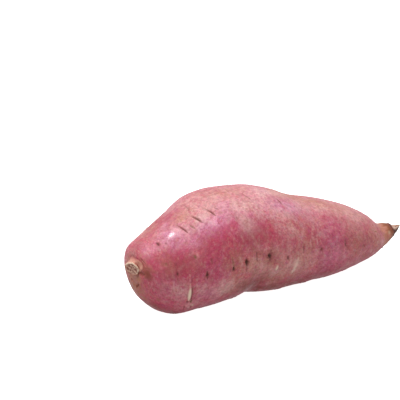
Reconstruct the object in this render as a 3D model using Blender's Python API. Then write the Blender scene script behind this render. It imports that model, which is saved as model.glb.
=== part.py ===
"""Sweet potato: one red-skinned storage root, lying on its belly.

The root runs from its stem end near -X to its thin tail at +X. Its skin is one closed surface:
oval rings of changing size are threaded on a gently bent centre line, and formulas then raise or
sink what grows on them. Those are the stub of the stem, the swellings and hollows of the body, the
furrow and the rows of eyes, the slits of the shoulder, the scars, and the broken woody tail.
Short dried rootlets stand out of some eyes. The belly is pressed flat where the root lies.

A place on the skin is given by its station, the distance run along the skin from the stem end,
and by its angle round the root: 0 is the top, 90 the near side (-Y), 180 the belly, 270 the back.
"""

import math

import bmesh
import bpy
import numpy as np
from mathutils import Vector

MM = 0.001

# Driving dimensions, in millimetres. Each ring is: distance from the stem end, sideways centre,
# height of the centre, half width, half height.
RINGS = (
    (0.0, -2.5, 34.5, 0.0, 0.0),
    (0.7, 0.5, 31.5, 10.5, 10.0),
    (3.5, 2.0, 29.0, 16.0, 15.0),
    (9.0, 2.5, 26.5, 20.5, 19.5),
    (18.0, 3.0, 25.5, 25.5, 24.5),
    (34.0, 3.5, 29.5, 31.3, 29.5),
    (50.0, 4.0, 32.5, 33.4, 31.5),
    (66.0, 4.0, 33.0, 32.9, 31.3),
    (84.0, 3.5, 30.9, 32.3, 31.1),
    (104.0, 2.0, 26.5, 27.8, 26.5),
    (124.0, 0.0, 23.5, 24.8, 23.7),
    (142.0, -1.5, 21.3, 19.9, 18.8),
    (156.0, -3.5, 18.8, 13.4, 12.8),
    (165.0, -4.1, 16.9, 8.2, 7.4),
    (169.0, -4.5, 17.6, 6.7, 6.1),
    (173.0, -5.0, 18.6, 4.6, 4.4),
    (177.0, -5.5, 19.5, 2.4, 2.4),
    (180.7, -6.0, 21.5, 0.0, 0.0),
)
SINK = 0.5              # how far the belly is pressed flat
ROWS = 106              # rings of the mesh
COLUMNS = 50            # points on each ring

# The cut stub of the stem, at the very end: the middle of its cut face, the way the face looks,
# its mean radius, how much longer than wide it is, and the angle its long way runs at.
STUB_CENTRE = (-3.05, -4.0, 33.9)
STUB_AIM = (-0.72, -0.685, -0.12)
STUB_RADIUS = 4.0
STUB_OVAL = 0.06
STUB_LONG_WAY = 120.0
STUB_FOOT = 5.5         # the station where its neck has run out into the shoulder
STUB_FOOT_REACH = 6.3   # how much later that is on the side the neck leans to
STUB_FOOT_ANGLE = 57.0  # the angle of that side, and how far round the neck is drawn out
STUB_FOOT_SPREAD = 26.0
NECK_RIM = 0.3          # how much wider than the cut face the neck is
NECK_RUN = 0.6          # how fast the neck runs back from the rim, along its aim

# Swellings and hollows: station, angle, reach along, reach around, height.
SWELLINGS = (
    (81.5, 136.0, 5.2, 16.0, -1.5),
    (62.0, 150.0, 10.0, 14.0, 0.4),
    (50.0, 150.0, 12.0, 14.0, -0.2),
    (52.0, 23.0, 6.5, 7.0, 0.7),
    (44.0, 27.0, 4.0, 6.0, -0.5),
    (36.3, 20.0, 6.2, 7.0, 1.0),
    (118.0, 87.0, 45.0, 5.0, -0.6),
    (109.0, 99.0, 3.0, 9.0, 0.6),
    (112.0, 22.0, 9.0, 10.0, 0.3),
    (101.5, 2.0, 6.0, 12.0, -0.8),
    (121.0, 140.0, 6.0, 9.0, 0.7),
    (13.0, 188.0, 6.0, 10.0, 0.6),
    (14.0, 331.0, 7.0, 8.0, -0.6),
    (47.0, 332.0, 5.0, 12.0, -1.2),
    (58.0, 335.0, 6.0, 12.0, 0.5),
    (36.0, 126.0, 16.0, 12.0, 0.5),
    (80.0, 215.0, 18.0, 16.0, -1.0),
    (130.0, 250.0, 14.0, 14.0, 0.8),
    (40.0, 262.0, 16.0, 15.0, 0.7),
    (96.0, 312.0, 13.0, 10.0, -0.7),
)

LUMP_TURNS = (4.9, 0.2, 4.4)    # where the three long waves of the skin start

# Marks run on the skin from one place to another: station, angle, station, angle, half width and
# height. They are the slits of the shoulder, the eyes, and the raised scars.
MARKS = (
    # slits of the shoulder
    (41.4, 14.0, 43.8, 32.0, 1.0, -0.6),
    (49.6, 17.5, 53.2, 32.0, 1.2, -0.9),
    (57.8, 15.0, 61.4, 31.5, 1.1, -0.7),
    (46.3, 25.0, 48.0, 32.0, 0.9, -0.35),
    (83.8, 15.0, 85.4, 22.5, 1.0, -0.35),
    (102.6, 25.0, 104.0, 30.5, 0.9, -0.35),
    # eyes and the crease beside the stem
    (27.2, 20.0, 27.3, 25.0, 1.2, -0.75),
    (26.9, 53.5, 26.9, 57.5, 1.4, -0.4),
    (42.4, 57.5, 42.9, 61.5, 1.2, -0.45),
    (31.9, 58.0, 31.3, 82.0, 1.2, -0.6),
    # eyes of the furrow
    (47.4, 80.5, 47.4, 88.0, 1.1, -0.7),
    (62.6, 77.0, 62.9, 91.5, 1.1, -0.7),
    (71.2, 83.0, 71.4, 91.0, 1.3, -0.95),
    (78.2, 80.5, 78.2, 89.0, 1.0, -0.5),
    (86.6, 81.0, 86.6, 92.0, 1.5, -1.1),
    (98.8, 89.0, 98.8, 93.0, 1.2, -0.7),
    (111.1, 78.0, 111.1, 86.5, 1.1, -0.6),
    (125.3, 81.5, 125.3, 86.0, 1.3, -0.7),
    (142.8, 73.0, 143.0, 82.0, 1.1, -0.6),
    (159.0, 85.0, 159.0, 90.0, 1.2, -0.5),
    # raised scars
    (37.8, 79.0, 37.9, 94.0, 1.0, 0.4),
    (37.9, 94.0, 37.8, 110.0, 1.1, 0.6),
    (38.9, 121.0, 38.9, 127.0, 1.3, 0.5),
    (106.4, 91.0, 102.7, 112.0, 1.5, 0.45),
    (91.9, 98.5, 90.9, 103.5, 1.3, 0.6),
)

# Rows of eyes where the root turns away: angle, first station, last station, eyes in the row.
EYE_ROWS = (
    (146.0, 38.0, 164.0, 9),
    (205.0, 30.0, 160.0, 9),
    (262.0, 26.0, 168.0, 11),
    (322.0, 34.0, 166.0, 10),
)
EYE_DEPTH = 0.8
EYE_HALF_WIDTH = 1.2
LIP_RATIO = 0.4         # the raised lip round a mark, as a share of its height
SEED = 11

# The woody tail: where its skin puckers into a collar, and where it is dry wood.
COLLAR_STATION = 191.0
COLLAR_HEIGHT = 0.3

# Dried rootlets: station, angle, length, lean along the root.
ROOTLETS = (
    (84.5, 342.0, 2.8, 0.1),
    (61.0, 268.0, 3.4, 0.5),
    (104.0, 258.0, 2.8, -0.4),
    (146.0, 266.0, 3.0, 0.6),
    (128.0, 318.0, 2.2, 0.4),
    (90.0, 222.0, 1.4, 0.8),
    (178.0, 300.0, 3.2, 0.8),
    (182.0, 120.0, 3.0, 0.8),
    (172.0, 60.0, 2.0, 0.7),
    (36.0, 232.0, 1.6, -0.5),
)
ROOTLET_RADIUS = 0.55
ROOTLET_SIDES = 6
ROOTLET_SUNK = 2.2

SKIN_COLOUR = (0.45, 0.11, 0.15, 1.0)
SKIN_ROUGHNESS = 0.45


def running_lengths():
    """Return the station of each ring: the distance run along the skin's profile up to it."""
    rings = np.array(RINGS)
    profile = np.stack([rings[:, 0], rings[:, 3:].mean(axis=1)], axis=1)
    steps = np.linalg.norm(np.diff(profile, axis=0), axis=1)
    return np.concatenate([[0.0], np.cumsum(steps)])


STATIONS = running_lengths()
LENGTH = float(STATIONS[-1])


def ring_slopes():
    """Return how fast each ring value changes at its station: the mean of the two spans beside it."""
    rings = np.array(RINGS)
    spans = np.diff(STATIONS)[:, None]
    rises = np.diff(rings, axis=0) / spans
    slopes = np.empty_like(rings)
    slopes[1:-1] = (spans[1:] * rises[:-1] + spans[:-1] * rises[1:]) / (spans[1:] + spans[:-1])
    slopes[0] = 1.5 * rises[0] - 0.5 * slopes[1]
    slopes[-1] = 1.5 * rises[-1] - 0.5 * slopes[-2]
    return slopes


def ring_at(station):
    """Return the five ring values at any station, by cubic curves that pass through the rings."""
    rings = np.array(RINGS)
    slopes = ring_slopes()
    span = np.clip(np.searchsorted(STATIONS, station, side="right") - 1, 0, len(RINGS) - 2)
    width = STATIONS[span + 1] - STATIONS[span]
    t = ((station - STATIONS[span]) / width)[..., None]
    width = width[..., None]
    start = (2 * t**3 - 3 * t**2 + 1) * rings[span] + (t**3 - 2 * t**2 + t) * width * slopes[span]
    end = (3 * t**2 - 2 * t**3) * rings[span + 1] + (t**3 - t**2) * width * slopes[span + 1]
    return np.moveaxis(start + end, -1, 0)


def plain_skin(station, angle):
    """Return points of the plain body: an oval of the ring's size round the ring's centre."""
    along, side, height, half_width, half_height = ring_at(station)
    x = along + 0.0 * angle
    y = side - half_width * np.sin(angle)
    z = height + half_height * np.cos(angle)
    return np.stack([x, y, z], axis=-1)


def outward(station, angle):
    """Return the outward direction: across one small step along the skin and one round it."""
    step = 0.05
    station = np.clip(station, 2 * step, LENGTH - 2 * step)
    along = plain_skin(station + step, angle) - plain_skin(station - step, angle)
    around = plain_skin(station, angle + step) - plain_skin(station, angle - step)
    normal = np.cross(around, along)
    return normal / np.linalg.norm(normal, axis=-1, keepdims=True)


def ease(t):
    """Return a smooth step from 0 to 1."""
    t = np.clip(t, 0.0, 1.0)
    return t * t * (3.0 - 2.0 * t)


def bell(distance):
    """Return a rounded bump, 1 at distance 0 and nothing past about 2."""
    return np.exp(-distance * distance)


def girth_radius(station):
    """Return the mean radius of the ring at a station, for turning angles into lengths."""
    ring = ring_at(np.asarray(station, float))
    return np.maximum((ring[3] + ring[4]) / 2, 0.5)


def turn_between(angle, centre):
    """Return the angle from a centre, taken the short way round."""
    return (angle - centre + math.pi) % (2 * math.pi) - math.pi


def swelling_height(station, angle):
    """Return the sum of the soft swellings and hollows, each a bell in both directions."""
    height = np.zeros_like(station + angle)
    radius = girth_radius(station)
    for place, turn, reach_along, reach_around, rise in SWELLINGS:
        around = turn_between(angle, math.radians(turn)) * radius / reach_around
        height += rise * bell((station - place) / reach_along) * bell(around)
    return height


def lump_height(station, angle):
    """Return the slow unevenness of a grown root: a few long waves along it and round it."""
    waves = 0.25 * np.sin(2 * angle + station / 23.0 + LUMP_TURNS[0]) * np.sin(station / 31.0)
    waves += 0.20 * np.sin(3 * angle - station / 17.0 + LUMP_TURNS[1])
    waves += 0.14 * np.sin(5 * angle + station / 11.0 + LUMP_TURNS[2])
    return waves * ease(station / 30.0) * ease((LENGTH - station) / 40.0)


def all_marks():
    """Return the placed marks, and eyes dealt out along their rows with a little seeded scatter."""
    rng = np.random.default_rng(SEED)
    marks = list(MARKS)
    for turn, row_start, row_end, count in EYE_ROWS:
        for place in np.linspace(row_start, row_end, count):
            station = place + rng.uniform(-3.0, 3.0)
            centre = turn + rng.uniform(-5.0, 5.0)
            half_turn = rng.uniform(2.0, 6.5)
            depth = -EYE_DEPTH * rng.uniform(0.6, 1.2)
            first, last = centre - half_turn, centre + half_turn
            marks.append((station, first, station, last, EYE_HALF_WIDTH, depth))
    return marks


def from_mark(station, angle, mark):
    """Return the distance in millimetres from a mark's line, measured on the unrolled skin."""
    first_station, first_angle, last_station, last_angle = mark[:4]
    middle_station = (first_station + last_station) / 2
    middle_angle = math.radians((first_angle + last_angle) / 2)
    along = station - middle_station
    around = turn_between(angle, middle_angle) * girth_radius(station)
    half_along = (last_station - first_station) / 2
    half_around = math.radians(last_angle - first_angle) / 2 * float(girth_radius(middle_station))
    reach = math.hypot(half_along, half_around)
    run = (along * half_along + around * half_around) / reach
    off = (around * half_along - along * half_around) / reach
    past_end = np.maximum(np.abs(run) - reach, 0.0)
    return np.hypot(off, past_end)


def mark_height(station, angle):
    """Return the marks: each a bell across its own line, the sunk ones with a low lip."""
    height = np.zeros_like(station + angle)
    for mark in all_marks():
        half_width, rise = mark[4:]
        across = from_mark(station, angle, mark) / half_width
        lip = bell((across - 2.0) / 0.9)
        height += rise * bell(across) + LIP_RATIO * abs(rise) * lip * (rise < 0)
    return height


def tail_height(station, angle):
    """Return the puckered collar where the skin ends, and the ribs of the dry wood past it."""
    collar = COLLAR_HEIGHT * bell((station - COLLAR_STATION) / 2.2) * ease(np.cos(angle) + 0.8)
    wood = ease((station - COLLAR_STATION) / 4.0) * ease((LENGTH - station) / 4.0)
    return collar + 0.22 * wood * np.cos(5 * angle + 0.7)


def stub_face(station, angle):
    """Return points of the stub's cut face: a flat oval round its middle, square to its aim."""
    aim = np.array(STUB_AIM) / np.linalg.norm(STUB_AIM)
    upward = np.array([0.0, 0.0, 1.0]) - aim[2] * aim
    upward = upward / np.linalg.norm(upward)
    sideways = np.cross(aim, upward)
    reach = station * (1.0 + STUB_OVAL * np.cos(2 * (angle - math.radians(STUB_LONG_WAY))))
    across = np.cos(angle)[..., None] * upward - np.sin(angle)[..., None] * sideways
    return np.array(STUB_CENTRE) + reach[..., None] * across


def add_stub(points, station, angle):
    """Turn the rings nearest the end into the stub: its flat face, then its neck to the foot."""
    aim = np.array(STUB_AIM) / np.linalg.norm(STUB_AIM)
    leaning = turn_between(angle, math.radians(STUB_FOOT_ANGLE)) / math.radians(STUB_FOOT_SPREAD)
    foot = STUB_FOOT + STUB_FOOT_REACH * bell(leaning)
    share = ease((foot - station) / (foot - STUB_RADIUS))[..., None]
    run_back = NECK_RUN * np.maximum(station - STUB_RADIUS, 0.0)[..., None] * aim
    neck = stub_face(np.minimum(station, STUB_RADIUS + NECK_RIM), angle) - run_back
    return points * (1.0 - share) + neck * share


def row_stations():
    """Return the mesh's stations, closer together at the stub, over the slits and at the tail.

    One of them is moved a little, to lie right on the rim of the cut face.
    """
    fine = np.linspace(0.0, LENGTH, 2001)
    closeness = 1.0 + 1.8 * bell(fine / 8.0)
    closeness += 0.7 * bell((fine - 52.0) / 14.0)
    closeness += 1.0 * bell((fine - LENGTH) / 18.0)
    share = np.concatenate([[0.0], np.cumsum((closeness[1:] + closeness[:-1]) / 2)])
    stations = np.interp(np.linspace(0.0, share[-1], ROWS), share, fine)
    stations[np.argmin(np.abs(stations - STUB_RADIUS))] = STUB_RADIUS
    return stations


def skin_points(station, angle):
    """Return finished points in millimetres: the plain body, raised, lifted and pressed flat."""
    height = swelling_height(station, angle) + lump_height(station, angle)
    height += mark_height(station, angle) + tail_height(station, angle)
    height *= ease((station - 2.0) / 6.0) * ease((LENGTH - station) / 2.0)
    points = plain_skin(station, angle) + height[..., None] * outward(station, angle)
    points = add_stub(points, station, angle)
    points[..., 2] = np.maximum(points[..., 2] - SINK, 0.0)
    return points


def new_object(name, mesh, collection):
    """Put a mesh in the scene as a named object of a collection."""
    thing = bpy.data.objects.new(name, mesh)
    collection.objects.link(thing)
    return thing


def make_body(collection):
    """Loft the skin over its rings, with one point at each end."""
    stations = row_stations()[1:-1]
    angles = np.linspace(0.0, 2 * math.pi, COLUMNS, endpoint=False)
    station, angle = np.meshgrid(stations, angles, indexing="ij")
    rows = skin_points(station, angle).reshape(-1, 3)
    ends = skin_points(np.array([0.0, LENGTH]), np.array([0.0, 0.0]))
    points = np.concatenate([rows, ends]) * MM
    faces = []
    count = len(stations)
    stem, tip = count * COLUMNS, count * COLUMNS + 1
    for column in range(COLUMNS):
        beside = (column + 1) % COLUMNS
        faces.append((stem, column, beside))
        for row in range(count - 1):
            low, high = row * COLUMNS, (row + 1) * COLUMNS
            faces.append((low + column, high + column, high + beside, low + beside))
        last = (count - 1) * COLUMNS
        faces.append((tip, last + beside, last + column))
    mesh = bpy.data.meshes.new("sweet_potato")
    mesh.from_pydata(points.tolist(), [], faces)
    mesh.update()
    return new_object("sweet_potato", mesh, collection)


def make_rootlet(number, station, turn, length, lean, collection):
    """Make one rootlet: a slim cone with its root sunk in the flesh, leaning along the body."""
    place = np.array(float(station))
    angle = np.array(math.radians(turn))
    foot = skin_points(place, angle)
    rise = outward(place, angle)
    rise = rise + np.array([lean, 0.0, 0.0])
    rise = rise / np.linalg.norm(rise)
    bm = bmesh.new()
    bmesh.ops.create_cone(
        bm,
        cap_ends=True,
        segments=ROOTLET_SIDES,
        radius1=ROOTLET_RADIUS * MM,
        radius2=ROOTLET_RADIUS * 0.4 * MM,
        depth=(length + ROOTLET_SUNK) * MM,
    )
    mesh = bpy.data.meshes.new(f"rootlet_{number}")
    bm.to_mesh(mesh)
    bm.free()
    rootlet = new_object(f"rootlet_{number}", mesh, collection)
    middle = foot + rise * (length - ROOTLET_SUNK) / 2
    rootlet.location = (middle * MM).tolist()
    rootlet.rotation_mode = "QUATERNION"
    rootlet.rotation_quaternion = Vector(rise.tolist()).to_track_quat("Z", "Y")
    return rootlet


def join_rootlets(body, rootlets):
    """Fuse the rootlets to the body with one union, apply it and remove the rootlets."""
    union = body.modifiers.new("rootlets", "BOOLEAN")
    union.operation = "UNION"
    union.operand_type = "COLLECTION"
    union.collection = rootlets
    union.solver = "EXACT"
    bpy.context.view_layer.update()
    seen = body.evaluated_get(bpy.context.evaluated_depsgraph_get())
    joined = bpy.data.meshes.new_from_object(seen)
    body.modifiers.clear()
    body.data = joined
    for rootlet in list(rootlets.objects):
        bpy.data.objects.remove(rootlet, do_unlink=True)
    bpy.data.collections.remove(rootlets)


def centre_on_floor(mesh):
    """Move the mesh so that the middle of its box is over the origin and its belly is at zero."""
    points = np.empty(len(mesh.vertices) * 3, np.float32)
    mesh.vertices.foreach_get("co", points)
    points = points.reshape(-1, 3)
    low, high = points.min(axis=0), points.max(axis=0)
    shift = np.array([(low[0] + high[0]) / 2, (low[1] + high[1]) / 2, low[2]], np.float32)
    mesh.vertices.foreach_set("co", (points - shift).ravel())
    mesh.update()


def skin_material():
    """Return the red skin's plain colour and its slight gloss."""
    material = bpy.data.materials.new("skin")
    material.use_nodes = True
    shader = material.node_tree.nodes["Principled BSDF"]
    shader.inputs["Base Color"].default_value = SKIN_COLOUR
    shader.inputs["Roughness"].default_value = SKIN_ROUGHNESS
    shader.inputs["Metallic"].default_value = 0.0
    return material


def main():
    """Build the root as one object in a collection of its own."""
    for thing in list(bpy.data.objects):
        bpy.data.objects.remove(thing, do_unlink=True)
    collection = bpy.data.collections.new("sweet_potato")
    bpy.context.scene.collection.children.link(collection)
    rootlets = bpy.data.collections.new("rootlets")
    bpy.context.scene.collection.children.link(rootlets)
    body = make_body(collection)
    for number, (station, turn, length, lean) in enumerate(ROOTLETS):
        make_rootlet(number, station, turn, length, lean, rootlets)
    join_rootlets(body, rootlets)
    centre_on_floor(body.data)
    body.data.materials.clear()
    body.data.materials.append(skin_material())
    body.data.shade_smooth()


main()
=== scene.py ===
"""Sweet potato: the finished skin, its stem stub, its broken tail and its dried rootlets.

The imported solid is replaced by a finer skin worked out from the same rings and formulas. A place
on the skin is its station, the distance in millimetres run along the skin from the stem end, and
its angle round the root: 0 is the top, 90 the near side, 180 the belly and 270 the back.
"""

import math

import bpy
import numpy as np
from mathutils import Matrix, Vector


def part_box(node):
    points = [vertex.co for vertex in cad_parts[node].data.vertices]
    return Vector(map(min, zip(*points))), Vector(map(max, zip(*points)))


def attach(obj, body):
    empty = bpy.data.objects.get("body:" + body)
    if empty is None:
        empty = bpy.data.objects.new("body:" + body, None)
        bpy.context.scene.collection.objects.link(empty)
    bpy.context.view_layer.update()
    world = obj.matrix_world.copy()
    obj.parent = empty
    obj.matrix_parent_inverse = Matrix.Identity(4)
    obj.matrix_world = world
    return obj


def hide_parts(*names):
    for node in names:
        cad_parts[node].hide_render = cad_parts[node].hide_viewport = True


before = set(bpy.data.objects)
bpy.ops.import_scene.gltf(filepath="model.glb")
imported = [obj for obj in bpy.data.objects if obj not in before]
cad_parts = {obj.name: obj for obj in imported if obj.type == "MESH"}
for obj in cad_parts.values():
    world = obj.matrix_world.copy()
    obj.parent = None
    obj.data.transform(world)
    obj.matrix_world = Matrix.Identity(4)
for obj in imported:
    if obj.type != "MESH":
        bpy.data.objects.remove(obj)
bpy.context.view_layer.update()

MM = 0.001

# The rings of the root, in millimetres: distance from the stem end, sideways centre, height of
# the centre, half width, half height.
RINGS = np.array((
    (0.0, -2.5, 34.5, 0.0, 0.0),
    (0.7, 0.5, 31.5, 10.5, 10.0),
    (3.5, 2.0, 29.0, 16.0, 15.0),
    (9.0, 2.5, 26.5, 20.5, 19.5),
    (18.0, 3.0, 25.5, 25.5, 24.5),
    (34.0, 3.5, 29.5, 31.3, 29.5),
    (50.0, 4.0, 32.5, 33.4, 31.5),
    (66.0, 4.0, 33.0, 32.9, 31.3),
    (84.0, 3.5, 30.9, 32.3, 31.1),
    (104.0, 2.0, 26.5, 27.8, 26.5),
    (124.0, 0.0, 23.5, 24.8, 23.7),
    (142.0, -1.5, 21.3, 19.9, 18.8),
    (156.0, -3.5, 18.8, 13.4, 12.8),
    (165.0, -4.1, 16.9, 8.2, 7.4),
    (169.0, -4.5, 17.6, 6.7, 6.1),
    (173.0, -5.0, 18.6, 4.6, 4.4),
    (177.0, -5.5, 19.5, 2.4, 2.4),
    (180.7, -6.0, 21.5, 0.0, 0.0),
))
# How deep the belly is pressed flat, how fine the mesh is, and the mean radius for the noises.
SINK = 0.5
ROWS = 500
COLUMNS = 196
MEAN_RADIUS = 28.0

# The cut stub of the stem: the middle of its cut face, the way the face looks, its mean radius,
# how much longer than wide it is, and the angle its long way runs at. Then its neck: the station
# where it has run out, how much later that is on the side that it leans to, that side's angle and
# spread, how much wider than the face the neck is, and how fast it runs back.
STUB_CENTRE = np.array((-3.05, -4.0, 33.9))
STUB_AIM = np.array((-0.72, -0.685, -0.12))
STUB_RADIUS = 4.0
STUB_OVAL = 0.06
STUB_LONG_WAY = 120.0
STUB_FOOT = 5.5
STUB_FOOT_REACH = 6.3
STUB_FOOT_ANGLE = 57.0
STUB_FOOT_SPREAD = 26.0
NECK_RIM = 0.3
NECK_RUN = 0.6

# Swellings and hollows: station, angle, reach along, reach around, height.
SWELLINGS = (
    (81.5, 136.0, 5.2, 16.0, -1.5),
    (62.0, 150.0, 10.0, 14.0, 0.4),
    (50.0, 150.0, 12.0, 14.0, -0.2),
    (52.0, 23.0, 6.5, 7.0, 0.7),
    (44.0, 27.0, 4.0, 6.0, -0.5),
    (36.3, 20.0, 6.2, 7.0, 1.0),
    (118.0, 87.0, 45.0, 5.0, -0.6),
    (109.0, 99.0, 3.0, 9.0, 0.6),
    (112.0, 22.0, 9.0, 10.0, 0.3),
    (101.5, 2.0, 6.0, 12.0, -0.8),
    (121.0, 140.0, 6.0, 9.0, 0.7),
    (13.0, 188.0, 6.0, 10.0, 0.6),
    (14.0, 331.0, 7.0, 8.0, -0.6),
    (47.0, 332.0, 5.0, 12.0, -1.2),
    (58.0, 335.0, 6.0, 12.0, 0.5),
    (36.0, 126.0, 16.0, 12.0, 0.5),
    (80.0, 215.0, 18.0, 16.0, -1.0),
    (130.0, 250.0, 14.0, 14.0, 0.8),
    (40.0, 262.0, 16.0, 15.0, 0.7),
    (96.0, 312.0, 13.0, 10.0, -0.7),
)
LUMP_TURNS = (4.9, 0.2, 4.4)

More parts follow.
